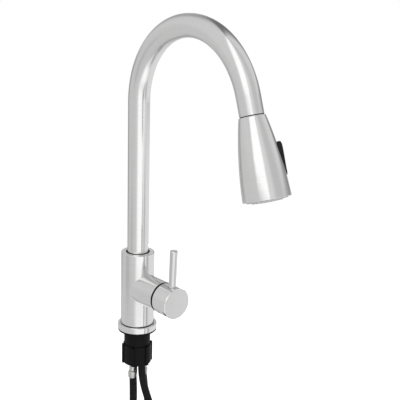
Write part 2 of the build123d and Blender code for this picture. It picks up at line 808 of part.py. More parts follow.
# Rocker button: a pad with a raised thumb lip at its upper end, a boss on the pin and a finger in the spool
boss_radius = 2.9
rocker_thickness = 1.0
with BuildPart() as rocker_button:
    with BuildSketch(head_section):
        with BuildLine():
            heights = [(0.02, rocker_lip), (0.2, 3.7), (0.4, 2.7), (0.68, 1.3), (0.97, rocker_proud)]
            outer = [
                (shell_radius(rocker_start + share * rocker_length) + height, rocker_start + share * rocker_length)
                for share, height in heights
            ]
            back = Spline(*outer)
            under = head_wall + rocker_thickness
            Polyline(
                back @ 1,
                (shell_radius(rocker_end), rocker_end),
                (shell_radius(rocker_end) - under, rocker_end),
                (shell_radius(rocker_middle) - under, rocker_middle),
                (shell_radius(rocker_start) - under, rocker_start),
                (shell_radius(rocker_start) + rocker_lip - 0.4, rocker_start),
                back @ 0,
            )
        make_face()
    extrude(amount=rocker_width / 2, both=True)
    plane, length, width, corner = rocker_plan(0)
    with BuildSketch(plane):
        RectangleRounded(length, width, corner)
    extrude(amount=2 * head_rim_radius, mode=Mode.INTERSECT)
    with BuildSketch(head_section):
        with Locations((pin_radius_place, rocker_middle)):
            Circle(boss_radius)
        with Locations(((pin_radius_place + shell_radius(rocker_middle) - under) / 2, rocker_middle)):
            Rectangle(shell_radius(rocker_middle) - under - pin_radius_place + 1.0, 2 * boss_radius)
        with Locations(((pin_radius_place + finger_end) / 2, rocker_middle)):
            Rectangle(pin_radius_place - finger_end, 2 * finger_half)
    extrude(amount=finger_width / 2, both=True)
    with BuildSketch(head_section):
        with Locations((pin_radius_place, rocker_middle)):
            Circle(rocker_pin_radius + running_clearance)
    extrude(amount=rocker_width, both=True, mode=Mode.SUBTRACT)
keep(rocker_button, "rocker_button")

# Spray face
mat_start = core_floor + flange_depth + seat_clearance
mat_thickness = 1.5
mat_end = mat_start + mat_thickness
plate_start = mat_end + seat_clearance
plate_end = head_length - 0.8
plate_rise = 2.4
hole_margin = 0.25
plate_radius = shell_radius(plate_start) - head_wall - 0.15


def plate_height(radius):
    """How far below the spout's end the domed spray plate reaches at this radius."""
    return plate_end + plate_rise * (1 - (radius / plate_radius) ** 2)


nozzle_rings = [(outer_nozzle_circle, outer_nozzles), (inner_nozzle_circle, inner_nozzles)]
with BuildPart() as spray_plate:
    with BuildSketch(head_section):
        with BuildLine():
            eye = aerator_radius + 0.1
            between = (eye + plate_radius) / 2
            dome = ThreePointArc(
                (eye, plate_height(eye)), (between, plate_height(between)), (plate_radius, plate_end)
            )
            Polyline(dome @ 1, (plate_radius, plate_start), (eye, plate_start), dome @ 0)
        make_face()
    revolve(axis=head_line)
    with BuildSketch(across_head(plate_start)):
        for circle, count in nozzle_rings:
            with PolarLocations(circle, count):
                Circle(nozzle_radius + 0.3 + hole_margin)
    extrude(amount=plate_end + plate_rise - plate_start, mode=Mode.SUBTRACT)
keep(spray_plate, "spray_plate")

with BuildPart() as spray_nozzles:
    with BuildSketch(across_head(mat_start)):
        Circle(outer_nozzle_circle + 2.0)
        Circle(aerator_radius + 0.1, mode=Mode.SUBTRACT)
    extrude(amount=mat_thickness)
    for circle, count in nozzle_rings:
        nozzle_length = plate_height(circle) + nozzle_proud - mat_end
        with BuildSketch(across_head(mat_end)):
            with PolarLocations(circle, count):
                Circle(nozzle_radius + 0.3)
        extrude(amount=nozzle_length, taper=degrees(atan(0.45 / nozzle_length)))
keep(spray_nozzles, "spray_nozzles")

aerator_wall = 1.4
with BuildPart() as aerator:
    with BuildSketch(across_head(mat_start)):
        Circle(aerator_radius)
        Circle(aerator_radius - aerator_wall, mode=Mode.SUBTRACT)
    extrude(amount=plate_height(aerator_radius) + 0.4 - mat_start)
    with BuildSketch(across_head(plate_start)):
        Circle(aerator_radius - aerator_wall)
        with HexLocations(1.35, 5, 5):
            Circle(0.95, mode=Mode.SUBTRACT)
    extrude(amount=1.2)
keep(aerator, "aerator")

# Hose inside the column and the shank
column_bend = 150.0
with BuildPart() as column_hose:
    with BuildLine():
        top = (0, 0, socket_floor)
        bend = (*hose_exit, shank_seat)
        outlet = (*hose_exit, shank_bottom)
        FilletPolyline(top, bend, outlet, radius=column_bend)
    with BuildSketch(Plane(origin=top, z_dir=Vector(*bend) - Vector(*top))):
        Circle(pull_hose_radius)
    sweep()
keep(column_hose, "column_hose")


def corner_radii(points):
    """As large an arc at each corner as its two runs allow."""
    radii = []
    for before, corner, after in zip(points, points[1:], points[2:]):
        run_in = Vector(*corner) - Vector(*before)
        run_out = Vector(*after) - Vector(*corner)
        half_turn = radians(run_in.get_angle(run_out)) / 2
        radii.append(0.45 * min(run_in.length, run_out.length) / tan(half_turn))
    return radii


def build_hose(name, points, hose_radius):
    """A plain tube along straight runs joined by tangent arcs. Gives its route."""
    radii = corner_radii(points)
    with BuildPart() as hose:
        with BuildLine() as route:
            FilletPolyline(*points, radius=radii)
        with BuildSketch(Plane(origin=points[0], z_dir=Vector(*points[1]) - Vector(*points[0]))):
            Circle(hose_radius)
        sweep()
    keep(hose, name)
    length = sum(edge.length for edge in route.edges())
    spare = hose.part.volume / (pi * hose_radius**2 * length)
    print(f"{name}: length {length:.1f}, least radius {min(radii):.1f}, volume by section {spare:.4f}")
    return points


def along_hose(points, distance):
    """A plane at the end of a hose, square to its last run, this far beyond the end."""
    direction = (Vector(*points[-1]) - Vector(*points[-2])).normalized()
    return Plane(origin=Vector(*points[-1]) + direction * distance, x_dir=(1, 0, 0), z_dir=direction)


# Steel tails that screw into the column, and the ferrules that crimp the hoses onto them
hose_inset = 0.6
tail_bore = 2.2
tail_waist = 3.9


def build_tail(name, place):
    """A straight steel tail from its socket in the column down into its ferrule."""
    with BuildPart() as tail:
        with BuildSketch(Plane.XY.offset(shank_seat)):
            with Locations(place):
                Circle(tail_radius)
        extrude(amount=tail_socket_depth - seat_clearance)
        with BuildSketch(Plane.XY.offset(ferrule_top)):
            with Locations(place):
                Circle(tail_waist)
        extrude(amount=shank_seat - ferrule_top)
        with BuildSketch(Plane.XY.offset(ferrule_top)):
            with Locations(place):
                Circle(tail_bore)
        extrude(amount=shank_seat + tail_socket_depth - ferrule_top, mode=Mode.SUBTRACT)
    keep(tail, f"{name}_tail")
    with BuildPart() as ferrule:
        with BuildSketch(Plane.XY.offset(ferrule_bottom)):
            with Locations(place):
                Circle(ferrule_radius)
                Circle(ferrule_bore, mode=Mode.SUBTRACT)
        extrude(amount=ferrule_top - hose_inset - ferrule_bottom)
        fillet(ferrule.edges().filter_by(GeomType.CIRCLE).group_by(SortBy.RADIUS)[-1], 0.35)
    keep(ferrule, f"{name}_ferrule")


for name, place in (("hot", hot_place), ("cold", cold_place), ("outlet", outlet_place)):
    build_tail(name, place)

# Supply hoses, hanging to the valves on the left and on the right, with their captive end nuts
hose_top = ferrule_top - hose_inset
hot_points = [
    (*hot_place, hose_top),
    (*hot_place, -106.0),
    (-13.5, 2.5, -172.0),
    (-23.0, 4.5, -245.0),
    (-30.5, 4.0, -320.0),
    (-34.0, 1.5, -395.0),
    (-33.0, -1.5, -465.0),
    (-30.5, -1.0, -520.0),
]
cold_points = [
    (*cold_place, hose_top),
    (*cold_place, -106.0),
    (16.5, 1.5, -172.0),
    (27.0, 5.5, -245.0),
    (34.5, 7.0, -320.0),
    (37.0, 4.0, -395.0),
    (35.0, 1.5, -465.0),
    (34.0, 2.5, -520.0),
]
end_ferrule_length = 16.0
end_neck = 5.0
end_shoulder = 1.0
end_flange_radius = 6.9
end_flange = 2.0
nut_start = 2.0
nut_length = 15.0
nut_across_flats = 19.0
nut_thread_radius = 7.6


def build_hose_end(name, points):
    """The end fitting crimped on a supply hose, and the nut that turns on its neck."""
    neck_start = seat_clearance + end_shoulder
    flange_start = neck_start + end_neck
    with BuildPart() as fitting:
        with BuildSketch(along_hose(points, -end_ferrule_length)):
            Circle(ferrule_radius)
            Circle(ferrule_bore, mode=Mode.SUBTRACT)
        extrude(amount=end_ferrule_length + seat_clearance)
        with BuildSketch(along_hose(points, seat_clearance)):
            Circle(ferrule_radius)
        extrude(amount=end_shoulder)
        with BuildSketch(along_hose(points, neck_start)):
            Circle(tail_radius)
        extrude(amount=end_neck)
        with BuildSketch(along_hose(points, flange_start)):
            Circle(end_flange_radius)
        extrude(amount=end_flange)
        with BuildSketch(along_hose(points, seat_clearance)):
            Circle(tail_bore)
        extrude(amount=nut_length, mode=Mode.SUBTRACT)
    keep(fitting, f"{name}_end_fitting")
    with BuildPart() as nut:
        with BuildSketch(along_hose(points, nut_start)):
            RegularPolygon(nut_across_flats / 2, 6, major_radius=False)
            Circle(tail_radius + running_clearance, mode=Mode.SUBTRACT)
        extrude(amount=nut_length)
        with BuildSketch(along_hose(points, flange_start - running_clearance)):
            Circle(end_flange_radius + running_clearance)
        extrude(amount=end_flange + 2 * running_clearance, mode=Mode.SUBTRACT)
        with BuildSketch(along_hose(points, flange_start + end_flange + running_clearance)):
            Circle(nut_thread_radius)
        extrude(amount=nut_length, mode=Mode.SUBTRACT)
    keep(nut, f"{name}_nut")


for name, points in (("hot", hot_points), ("cold", cold_points)):
    build_hose(f"{name}_hose", points, supply_hose_radius)
    build_hose_end(name, points)

# Outlet hose, from the column to the quick connector
outlet_points = [
    (*outlet_place, hose_top),
    (*outlet_place, -101.0),
    (-0.6, 15.5, -143.0),
    (-0.2, 32.0, -185.0),
    (0.0, 45.0, -225.0),
    (0.0, 51.0, -262.0),
]
build_hose("outlet_hose", outlet_points, supply_hose_radius)

connector_length = 30.0
connector_radius = 9.0
plug_radius = 6.0
plug_flange = 7.5
plug_length = 22.0
plug_depth = 12.0
sleeve_length = 9.0
with BuildPart() as connector_socket:
    with BuildSketch(along_hose(outlet_points, -sleeve_length)):
        Circle(plug_radius)
        Circle(ferrule_bore, mode=Mode.SUBTRACT)
    extrude(amount=sleeve_length + seat_clearance)
    with BuildSketch(along_hose(outlet_points, seat_clearance)):
        Circle(connector_radius)
    extrude(amount=connector_length)
    chamfer(connector_socket.edges().filter_by(GeomType.CIRCLE).group_by(SortBy.RADIUS)[-1], 1.2)
    with BuildSketch(along_hose(outlet_points, connector_length - plug_depth)):
        Circle(plug_radius + sliding_clearance)
    extrude(amount=2 * plug_depth, mode=Mode.SUBTRACT)
keep(connector_socket, "connector_socket")

# Pull-out hose below the shank: down, round in one wide turn and up to the connector
hose_end_distance = connector_length + plug_length - plug_depth
last_run = 55.0
pull_end = along_hose(outlet_points, hose_end_distance).origin
pull_run = along_hose(outlet_points, hose_end_distance + last_run).origin
pull_points = [
    (*hose_exit, shank_bottom),
    (*hose_exit, -70.0),
    (8.0, -18.5, -112.0),
    (14.5, -37.0, -172.0),
    (18.0, -55.0, -243.0),
    (18.0, -63.0, -325.0),
    (16.0, -65.0, -412.0),
    (14.5, -62.0, -495.0),
    (12.0, -36.5, -530.0),
    (8.5, 3.5, -544.0),
    (5.5, 45.0, -531.0),
    (3.0, 70.5, -497.0),
    (1.0, 74.0, -432.0),
    tuple(pull_run),
    tuple(pull_end),
]
build_hose("pull_hose", pull_points, pull_hose_radius)

with BuildPart() as connector_plug:
    with BuildSketch(along_hose(pull_points, -sleeve_length)):
        Circle(plug_radius + 0.4)
        Circle(pull_hose_radius + seat_clearance, mode=Mode.SUBTRACT)
    extrude(amount=sleeve_length + seat_clearance)
    with BuildSketch(along_hose(pull_points, seat_clearance)):
        Circle(plug_flange)
    extrude(amount=plug_length - plug_depth - 2 * seat_clearance)
    with BuildSketch(along_hose(pull_points, seat_clearance)):
        Circle(plug_radius)
    extrude(amount=plug_length - 2 * seat_clearance)
keep(connector_plug, "connector_plug")

# Weight clipped on the long straight run of the pull-out hose
weight_radius = 16.0
weight_length = 46.0
weight_drop = 20.0
run_start = Vector(*pull_points[5])
weight_run = (Vector(*pull_points[6]) - run_start).normalized()
weight_plane = Plane(origin=run_start + weight_run * weight_drop, x_dir=(1, 0, 0), z_dir=weight_run)
with BuildPart() as hose_weight:
    with BuildSketch(weight_plane):
        Circle(weight_radius)
    extrude(amount=weight_length)
    fillet(hose_weight.edges(), 4.0)
    with BuildSketch(weight_plane):
        Circle(pull_hose_radius + 0.9)
    extrude(amount=weight_length, mode=Mode.SUBTRACT)
keep(hose_weight, "hose_weight")
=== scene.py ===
import json
import math

import bmesh
import bpy
from mathutils import Matrix, Vector


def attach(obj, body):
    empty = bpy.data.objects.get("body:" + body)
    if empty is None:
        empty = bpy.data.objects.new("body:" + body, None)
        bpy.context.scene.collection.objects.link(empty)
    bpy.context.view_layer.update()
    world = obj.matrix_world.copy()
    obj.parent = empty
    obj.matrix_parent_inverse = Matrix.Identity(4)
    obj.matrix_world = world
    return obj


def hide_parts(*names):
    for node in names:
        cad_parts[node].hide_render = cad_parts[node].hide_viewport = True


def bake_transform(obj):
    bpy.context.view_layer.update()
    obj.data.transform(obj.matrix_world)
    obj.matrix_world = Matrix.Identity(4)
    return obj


# Pull-out kitchen faucet, in metres, in the frame of the CAD model: the origin is on the column's axis
# at worktop level, and the spout and the handle point towards -Y.

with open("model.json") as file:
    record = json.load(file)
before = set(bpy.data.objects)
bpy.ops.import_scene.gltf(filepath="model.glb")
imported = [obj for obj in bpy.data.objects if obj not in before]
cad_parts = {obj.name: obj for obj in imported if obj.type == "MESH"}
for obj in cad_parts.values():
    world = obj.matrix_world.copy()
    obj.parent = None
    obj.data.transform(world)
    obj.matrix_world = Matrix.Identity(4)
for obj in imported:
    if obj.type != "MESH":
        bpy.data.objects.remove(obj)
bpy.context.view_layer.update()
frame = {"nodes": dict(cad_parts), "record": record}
slot_of = {row["node"]: row["material_slot"] for row in frame["record"]["subparts"]}

# Where the camera stands, and the way it looks
eye = Vector((-0.64454, -0.85688, 0.48079))
look = Vector((0.6355, 0.7243, -0.2674)).normalized()
head_up = Vector((0.155, 0.2196, 0.9632)).normalized()
right = look.cross(head_up).normalized()
head_up = right.cross(look)
lens = 76.378
sensor = 36.0

camera_data = bpy.data.cameras.new("camera")
camera_data.lens = lens
camera_data.sensor_width = sensor
camera_data.clip_start = 0.05
camera_data.clip_end = 30.0
camera = bpy.data.objects.new("camera", camera_data)
bpy.context.scene.collection.objects.link(camera)
camera.matrix_world = Matrix(
    [
        [right[i], head_up[i], -look[i], eye[i]]
        for i in range(3)
    ]
    + [[0, 0, 0, 1]]
)
bpy.context.scene.camera = camera
bpy.context.scene.view_settings.view_transform = "Standard"

# Sizes shared with the CAD source
arch_start = 0.3118
arch_radius = 0.1012
arch_turn = math.radians(161.5)
end_straight = 0.0213
head_axis = Vector((0, -math.sin(arch_turn), math.cos(arch_turn)))
arch_out = arch_radius * (1 - math.cos(arch_turn))
arch_up = arch_radius * math.sin(arch_turn)
arch_end = Vector((0, -arch_out, arch_start + arch_up))
spout_end = arch_end + head_axis * end_straight
supply_hose = 0.0039
pull_hose = 0.00515
hose_top = -0.0626
handle_face = -0.0829
housing_start = -0.0235
column_radius = 0.0222
head_length = 0.0924

# How many steps a turned piece takes round its axis
wide_round = 96
nut_round = 72
small_round = 16


# Turned pieces

def turned(name, outline, places, around=48, flats=None):
    """A ring at each place, turned about an upright axis from a closed outline of radius and height.
    flats is the width of the hexagon that cuts it, if there is one."""
    vertices, faces = [], []
    count = len(outline)
    for x, y, z in places:
        first = len(vertices)
        for k in range(around):
            turn = 2 * math.pi * k / around
            off_flat = (turn + math.pi / 6) % (math.pi / 3) - math.pi / 6
            for radius, height in outline:
                reach = min(radius, flats / 2 / math.cos(off_flat)) if flats else radius
                vertices.append((x + reach * math.cos(turn), y + reach * math.sin(turn), z + height))
        for k in range(around):
            here, after = first + k * count, first + (k + 1) % around * count
            for j in range(count):
                n = (j + 1) % count
                faces.append((here + j, after + j, after + n, here + n))
    mesh = bpy.data.meshes.new(name)
    mesh.from_pydata(vertices, [], faces)
    mesh.update()
    piece = bpy.data.objects.new(name, mesh)
    bpy.context.scene.collection.objects.link(piece)
    return piece


def smoothed(piece, angle=35):
    """Smooth shading, apart from edges sharper than the angle, with the faces looking outwards."""
    form = bmesh.new()
    form.from_mesh(piece.data)
    bmesh.ops.recalc_face_normals(form, faces=form.faces)
    for edge in form.edges:
        edge.smooth = edge.calc_face_angle(0) < math.radians(angle)
    for face in form.faces:
        face.smooth = True
    form.to_mesh(piece.data)
    form.free()


def laid(piece, start, way):
    """Lays a piece that was turned about the upright axis along another one."""
    across = Vector((1, 0, 0))
    across = (across - way * across.dot(way)).normalized()
    columns = across, way.cross(across), way, start
    piece.data.transform(Matrix([[column[i] for column in columns] for i in range(3)] + [[0, 0, 0, 1]]))
    smoothed(piece)


# Hoses

def nurbs_route(name, points):
    """The smooth line of a hose, with the route's points as its control points."""
    data = bpy.data.curves.new(name, "CURVE")
    data.dimensions = "3D"
    data.resolution_u = 10
    spline = data.splines.new("NURBS")
    spline.points.add(len(points) - 1)
    for point, place in zip(spline.points, points):
        point.co = (*place, 1.0)
    spline.order_u = 3
    spline.use_endpoint_u = True
    route = bpy.data.objects.new(name, data)
    bpy.context.scene.collection.objects.link(route)
    bpy.context.view_layer.update()
    mesh = bpy.data.meshes.new_from_object(route)
    line = [vertex.co.copy() for vertex in mesh.vertices]
    bpy.data.meshes.remove(mesh)
    bpy.data.objects.remove(route)
    bpy.data.curves.remove(data)
    return line


def even_line(line, step):
    """The same line with its points an even step apart."""
    spacing = [(b - a).length for a, b in zip(line, line[1:])]
    total = sum(spacing)
    count = max(2, round(total / step))
    even = [line[0].copy()]
    place, passed = 0, 0.0
    for k in range(1, count):
        wanted = total * k / count
        while passed + spacing[place] < wanted:
            passed += spacing[place]
            place += 1
        even.append(line[place].lerp(line[place + 1], (wanted - passed) / spacing[place]))
    even.append(line[-1].copy())
    return even


def cross_sections(line):
    """For each point of a line, two directions square to it that don't twist along the way."""
    tangents = []
    for k in range(len(line)):
        before, after = line[max(k - 1, 0)], line[min(k + 1, len(line) - 1)]
        tangents.append((after - before).normalized())
    side = tangents[0].orthogonal().normalized()
    sections = []
    for tangent in tangents:
        side = (side - tangent * side.dot(tangent)).normalized()
        sections.append((side, tangent.cross(side)))
    return sections


def hose_tube(name, line, radius, around=24):
    """A tube round a line, with a map whose u is the length in metres and v the turn."""
    sections = cross_sections(line)
    vertices, faces, lengths = [], [], [0.0]
    for k, (point, (side, other)) in enumerate(zip(line, sections)):
        if k:
            lengths.append(lengths[-1] + (point - line[k - 1]).length)
        for j in range(around):
            turn = 2 * math.pi * j / around
            vertices.append(point + radius * (math.cos(turn) * side + math.sin(turn) * other))
    for k in range(len(line) - 1):
        for j in range(around):
            n = (j + 1) % around
            faces.append((k * around + j, k * around + n, (k + 1) * around + n, (k + 1) * around + j))
    last = (len(line) - 1) * around
    faces.append(tuple(reversed(range(around))))
    faces.append(tuple(range(last, last + around)))
    mesh = bpy.data.meshes.new(name)
    mesh.from_pydata([tuple(v) for v in vertices], [], faces)
    weave = mesh.uv_layers.new(name="weave")
    for polygon in mesh.polygons:
        for corner, vertex in zip(polygon.loop_indices, polygon.vertices):
            ring, place = divmod(vertex, around)
            turn = place / around
            closes_the_turn = any(v % around == around - 1 for v in polygon.vertices)
            if place == 0 and closes_the_turn and len(polygon.vertices) == 4:
                turn = 1.0
            weave.data[corner].uv = (lengths[ring], turn)
        polygon.use_smooth = len(polygon.vertices) == 4
    tube = bpy.data.objects.new(name, mesh)
    bpy.context.scene.collection.objects.link(tube)
    return tube


hot_route = [
    (-0.0083, 0, hose_top),
    (-0.0074, -0.0006, -0.108),
    (-0.0092, 0.0002, -0.172),
    (-0.023, 0.0045, -0.245),
    (-0.0305, 0.004, -0.32),
    (-0.034, 0.0015, -0.395),
    (-0.033, -0.0015, -0.465),
    (-0.0305, -0.001, -0.52),
]
cold_route = [
    (0.0104, -0.0016, hose_top),
    (0.0132, -0.0028, -0.098),
    (0.0222, -0.0062, -0.168),
    (0.0295, -0.0005, -0.245),
    (0.0345, 0.007, -0.32),
    (0.037, 0.004, -0.395),
    (0.035, 0.0015, -0.465),
    (0.034, 0.0025, -0.52),
]
outlet_route = [
    (-0.0004, 0.0072, hose_top),
    (0.0022, 0.0068, -0.108),
    (0.0022, 0.013, -0.148),
    (-0.0002, 0.032, -0.185),
    (0, 0.045, -0.225),
    (0, 0.051, -0.262),
]
outlet_way = (Vector(outlet_route[-1]) - Vector(outlet_route[-2])).normalized()
pull_end = Vector(outlet_route[-1]) + outlet_way * 0.040
pull_run = Vector(outlet_route[-1]) + outlet_way * 0.095
pull_route = [
    (0.0019, -0.0083, -0.046),
    (0.0015, -0.0079, -0.070),
    (0.0092, -0.018, -0.111),
    (0.0172, -0.0400, -0.170),
    (0.018, -0.055, -0.243),
    (0.018, -0.063, -0.325),
    (0.016, -0.065, -0.412),
    (0.0145, -0.062, -0.495),
    (0.012, -0.0365, -0.530),
    (0.0085, 0.0035, -0.544),
    (0.0055, 0.045, -0.531),
    (0.003, 0.0705, -0.497),
    (0.001, 0.074, -0.432),
    tuple(pull_run),
    tuple(pull_end),
]

# Swivel nuts at the ends of the supply hoses, open below over their thread and washer
nut_flats = 0.019
thread_pitch = 0.0013
thread_turns = 5
thread_root = 0.0076
thread_crest = 0.0071
thread = []
for k in range(thread_turns):
    thread += [(thread_root, 0.0164 - k * thread_pitch), (thread_crest, 0.0158 - k * thread_pitch)]
nut_outline = [
    (0.00406, 0.0020), (0.0094, 0.0020), (0.0098, 0.0022), (0.0111, 0.0030), (0.0111, 0.0160),
    (0.0098, 0.0168), (0.0094, 0.0170), (0.0078, 0.0170), *thread, (thread_root, 0.0096),
    (thread_root, 0.0081), (0.00696, 0.0081), (0.00696, 0.0060), (0.00406, 0.0060),
]
washer_outline = [
    (0.0030, 0.0082), (0.0072, 0.0082), (0.0073, 0.0085), (0.0073, 0.0098), (0.0071, 0.0101),
    (0.0032, 0.0101), (0.0030, 0.0098),
]
swivel_nuts, washers = {}, {}
for name, route in (("hot", hot_route), ("cold", cold_route)):
    start = Vector(route[-1])
    way = (start - Vector(route[-2])).normalized()
    swivel_nuts[name] = turned(f"hex_{name}_nut", nut_outline, [(0, 0, 0)], nut_round, nut_flats)
    laid(swivel_nuts[name], start, way)
    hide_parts(f"{name}_nut")
    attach(swivel_nuts[name], f"{name}_swivel_nut")
    washers[name] = turned(f"{name}_end_washer", washer_outline, [(0, 0, 0)])
    laid(washers[name], start, way)
    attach(washers[name], f"{name}_swivel_nut")

# What each hose carries at its far end
nodes = frame["nodes"]
hot_fittings = [nodes["hot_end_fitting"], swivel_nuts["hot"], washers["hot"]]
cold_fittings = [nodes["cold_end_fitting"], swivel_nuts["cold"], washers["cold"]]
outlet_fittings = [nodes["connector_socket"]]
pull_fittings = [nodes["connector_plug"], nodes["hose_weight"]]
line_step = 0.004
hoses = {}
for name, route, radius, length, far_end, others in (
    ("hot_hose", hot_route, supply_hose, 0.4588, "fitting", hot_fittings),
    ("cold_hose", cold_route, supply_hose, 0.4591, "fitting", cold_fittings),
    ("outlet_hose", outlet_route, supply_hose, 0.2056, "connector", outlet_fittings),
    ("pull_hose", pull_route, pull_hose, 0.8189, "connector", pull_fittings),
):
    line = even_line(nurbs_route(name + "_route", route), line_step)
    tube = hose_tube("braided_" + name, line, radius)
    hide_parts(name)
    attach(tube, "column")
    2 * radius
    hoses[name] = tube


# The hose inside the spout, which is drawn out with the spray head. Its map is as long as the hose drawn out.
def along_head(distance):
    """A place on the spray head's axis, at a distance below the spout's end."""
    return spout_end + head_axis * distance


reach_start = -0.0294
reach_end = -0.0136
pull_range = 0.4
reach_rings = 48
reach_line = [
    along_head(reach_start + (reach_end - reach_start) * k / reach_rings)
    for k in range(reach_rings + 1)
]
hose_reach = hose_tube("braided_hose_reach", reach_line, pull_hose)
for corner in hose_reach.data.uv_layers["weave"].data:
    share = corner.uv[0] / (reach_end - reach_start)
    corner.uv[0] += pull_range * share * share * (3 - 2 * share)
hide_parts("hose_stub")
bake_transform(hose_reach)
hoses["hose_reach"] = hose_reach


# Ferrules of the supply hoses, with a round shoulder and a crimped groove, and the outlet's longer black
# sleeve. Each outline is a list of radius and height above the hose's top.
ferrule_outline = [
    (0.00398, 0.0022), (0.0043, 0.0021), (0.0048, 0.0016), (0.0052, 0.0008), (0.0054, -0.0002),
    (0.0054, -0.0040), (0.0053, -0.0045), (0.0051, -0.0049), (0.0051, -0.0054), (0.0053, -0.0058),
    (0.0053, -0.0070), (0.0050, -0.0077), (0.0045, -0.008), (0.00398, -0.008),
]
sleeve_outline = [
    (0.00398, 0.0126), (0.0046, 0.0126), (0.0049, 0.0123), (0.005, 0.0118), (0.005, 0.0012),
    (0.00492, 0.0008), (0.00492, 0.0004), (0.005, 0.0), (0.005, -0.0072), (0.0048, -0.0078),
    (0.0044, -0.008), (0.00398, -0.008),
]
ferrules = []
for name, route, outline in (
    ("hot", hot_route, ferrule_outline),
    ("cold", cold_route, ferrule_outline),
    ("outlet", outlet_route, sleeve_outline),
):
    ferrule = turned(f"crimped_{name}_ferrule", outline, [route[0]])
    smoothed(ferrule)
    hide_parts(f"{name}_ferrule")
    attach(ferrule, "column")
    "nylon" if name == "outlet" else "ferrule_steel"
    ferrules.append(ferrule)

# Base gasket, squeezed a little out of its seat
gasket_outline = [
    (0.0180, 0.0), (0.0256, 0.0), (0.0259, 0.00015), (0.0260, 0.0005), (0.0260, 0.0016),
    (0.0258, 0.0020), (0.0254, 0.0022), (0.0180, 0.0022),
]
gasket = turned("squeezed_gasket", gasket_outline, [(0, 0, 0)], wide_round)
smoothed(gasket)
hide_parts("base_gasket")
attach(gasket, "column")


# Spray face, turned about the spray head's axis, with heights from the spout's end
plate_back = 0.0894
plate_radius = 0.0255
aerator_hole = 0.0097
dome_edge = 0.0925
dome_rise = 0.0041
dome_steps = 10


def onto_head(piece):
    laid(piece, spout_end, head_axis)
    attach(piece, "spray_head")


def dome_height(radius):
    """How far below the spout's end the domed face reaches at this radius."""
    return dome_edge + dome_rise * (1 - (radius / plate_radius) ** 2)


plate_outline = [(aerator_hole, plate_back), (plate_radius, plate_back)]
for k in range(dome_steps + 1):
    radius = plate_radius + (aerator_hole - plate_radius) * k / dome_steps
    plate_outline.append((radius, dome_height(radius)))
domed_plate = turned("domed_spray_plate", plate_outline, [(0, 0, 0)], wide_round)
onto_head(domed_plate)
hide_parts("spray_plate")

# Radius and count of each circle of nozzles
nozzle_circles = ((0.0218, 24), (0.0162, 18))
nozzle_outline = [
    (0.0005, -0.0030), (0.0014, -0.0030), (0.00138, 0.0001), (0.00126, 0.0004), (0.0010, 0.0006),
    (0.0007, 0.0006), (0.0005, 0.0004),
]
nozzle_places = []
for circle, count in nozzle_circles:
    for k in range(count):
        turn = 2 * math.pi * k / count
        nozzle_places.append((circle * math.cos(turn), circle * math.sin(turn), dome_height(circle)))
nozzles = turned("soft_spray_nozzles", nozzle_outline, nozzle_places, small_round)
onto_head(nozzles)
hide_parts("spray_nozzles")

rim_outline = [
    (0.0259, -0.0004), (0.0272, -0.0004), (0.02725, 0.0), (0.0271, 0.0002), (0.0268, 0.0003),
    (0.0264, 0.0003), (0.0261, 0.0002), (0.0259, 0.0),
]
rolled_rim = turned("rolled_rim", rim_outline, [(0, 0, head_length)], wide_round)
onto_head(rolled_rim)


# Materials

class Socket:
    """An output of a node, on which ordinary arithmetic adds Math nodes."""

    def __init__(self, paint, output):
        self.paint = paint
        self.output = output

    def math(self, operation, *others):
        values = {index: other for index, other in enumerate([self, *others])}
        return self.paint.add("ShaderNodeMath", {"operation": operation}, values)

    def swapped(self, operation, other):
        return self.paint.add("ShaderNodeMath", {"operation": operation}, {0: other, 1: self})

    def __add__(self, other):
        return self.math("ADD", other)

    def __radd__(self, other):
        return self.math("ADD", other)

    def __sub__(self, other):
        return self.math("SUBTRACT", other)

    def __rsub__(self, other):
        return self.swapped("SUBTRACT", other)

    def __mul__(self, other):
        return self.math("MULTIPLY", other)

    def __rmul__(self, other):
        return self.math("MULTIPLY", other)

    def __truediv__(self, other):
        return self.math("DIVIDE", other)

    def __rtruediv__(self, other):
        return self.swapped("DIVIDE", other)

    def __gt__(self, other):
        return self.math("GREATER_THAN", other)

    def __lt__(self, other):
        return self.math("LESS_THAN", other)


